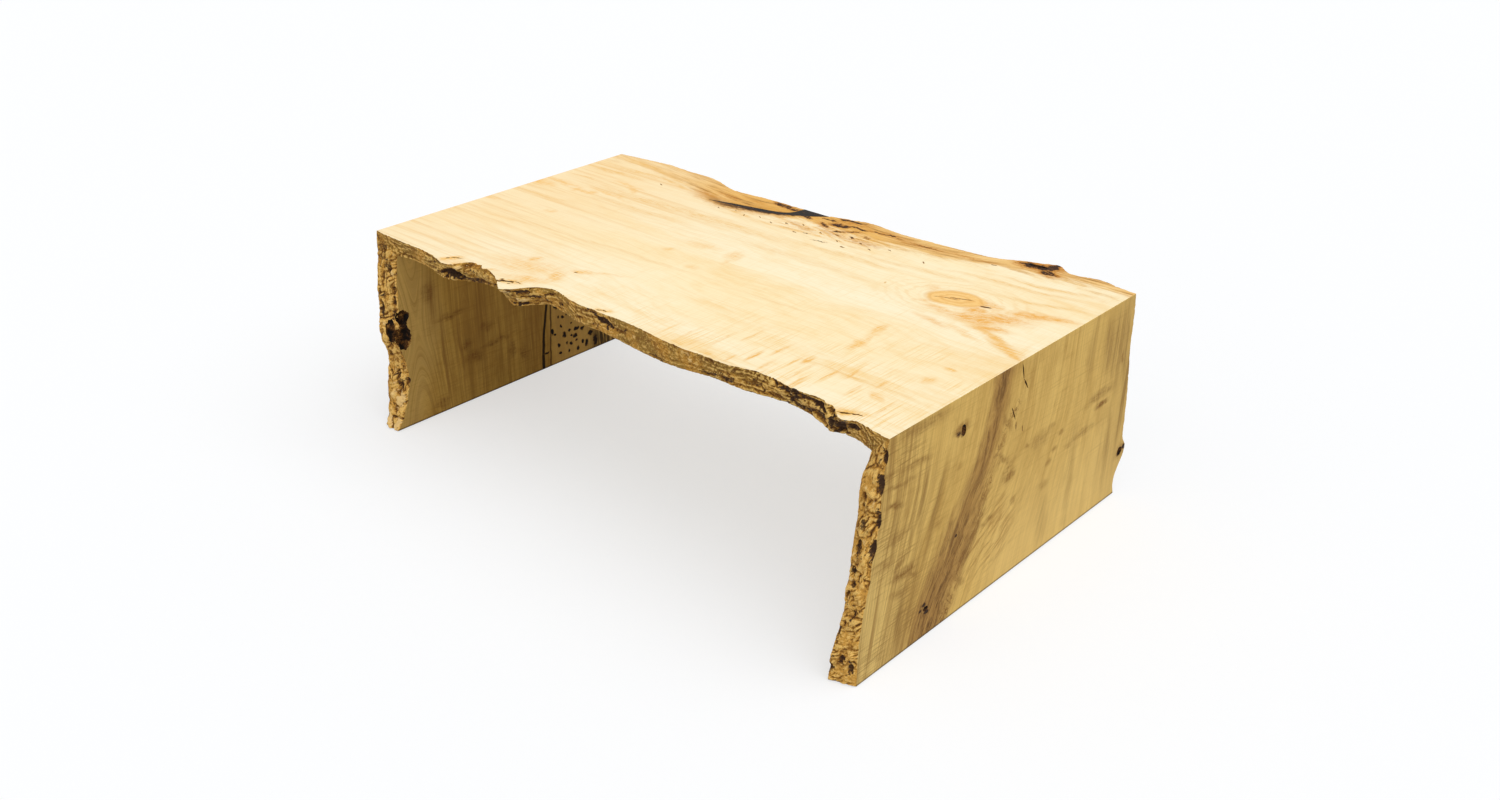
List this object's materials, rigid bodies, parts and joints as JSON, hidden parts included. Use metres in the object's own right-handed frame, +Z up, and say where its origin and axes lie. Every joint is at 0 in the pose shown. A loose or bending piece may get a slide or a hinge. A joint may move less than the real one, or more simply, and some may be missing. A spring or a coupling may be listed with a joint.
{
  "type": "waterfall coffee table",
  "caption": "Low waterfall table of one live-edge slab folded over mitred corners into solid slab ends, with a resin-filled crack at its back edge.",
  "frame": {"origin": "on the floor, below the centre of the bounding box", "axes": "+X along the table's length towards the wider end, +Y from the front natural edge to the back one, +Z up"},
  "size_m": [1.2, 0.7993, 0.4],
  "materials": {
    "maple": "planed pale maple with a satin clear finish; natural edges bare of bark",
    "tenon_wood": "plain sawn hardwood, glued in",
    "black_resin": "cast black resin, levelled and polished flush",
    "felt": "pressed felt disc"
  },
  "bodies": {
    "root": {"top_slab": "maple", "left_leg_slab": "maple", "right_leg_slab": "maple", "left_mitre_tenon_1": "tenon_wood", "left_mitre_tenon_2": "tenon_wood", "left_mitre_tenon_3": "tenon_wood", "left_mitre_tenon_4": "tenon_wood", "left_mitre_tenon_5": "tenon_wood", "left_mitre_tenon_6": "tenon_wood", "right_mitre_tenon_1": "tenon_wood", "right_mitre_tenon_2": "tenon_wood", "right_mitre_tenon_3": "tenon_wood", "right_mitre_tenon_4": "tenon_wood", "right_mitre_tenon_5": "tenon_wood", "right_mitre_tenon_6": "tenon_wood", "crack_fill": "black_resin", "left_felt_glide_front": "felt", "left_felt_glide_middle": "felt", "left_felt_glide_back": "felt", "right_felt_glide_front": "felt", "right_felt_glide_middle": "felt", "right_felt_glide_back": "felt"}
  },
  "joints": []
}
